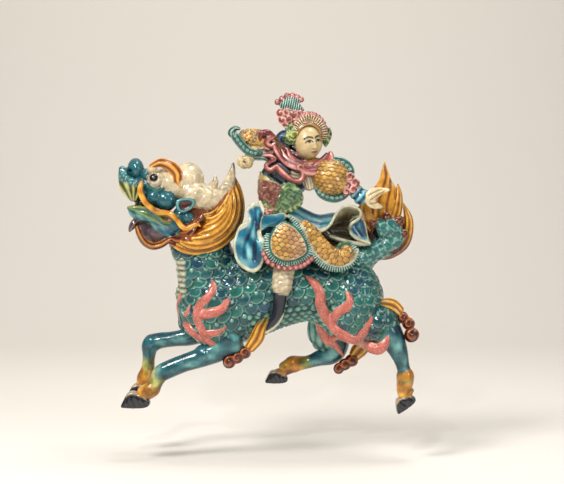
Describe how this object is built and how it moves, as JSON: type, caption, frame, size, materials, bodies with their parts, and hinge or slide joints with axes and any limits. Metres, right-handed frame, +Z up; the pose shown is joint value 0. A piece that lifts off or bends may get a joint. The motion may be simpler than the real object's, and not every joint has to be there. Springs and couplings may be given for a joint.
{
  "type": "roof ridge figure",
  "caption": "Glazed stoneware roof ridge figure of an armoured rider on a galloping scaled qilin, with a flat back for bedding on a ridge wall.",
  "frame": {"origin": "middle of the flat unglazed back that is bedded on the wall, under the rider's seat", "axes": "+Z up, -Y towards the viewer, away from the wall, +X towards the qilin's tail; +Y points into the wall"},
  "size_m": [0.3008, 0.0968, 0.3196],
  "materials": {
    "teal_glaze": "glossy, pooled dark in the grooves",
    "blue_glaze": "glossy",
    "green_glaze": "glossy",
    "amber_glaze": "glossy, brown in the grooves",
    "brown_glaze": "glossy",
    "coral_glaze": "satin with a speckle",
    "cream_glaze": "satin with a fine crackle",
    "black_glaze": "glossy",
    "bare_clay": "matt, unglazed"
  },
  "bodies": {
    "root": {"qilin_and_rider": "teal_glaze"}
  },
  "joints": []
}
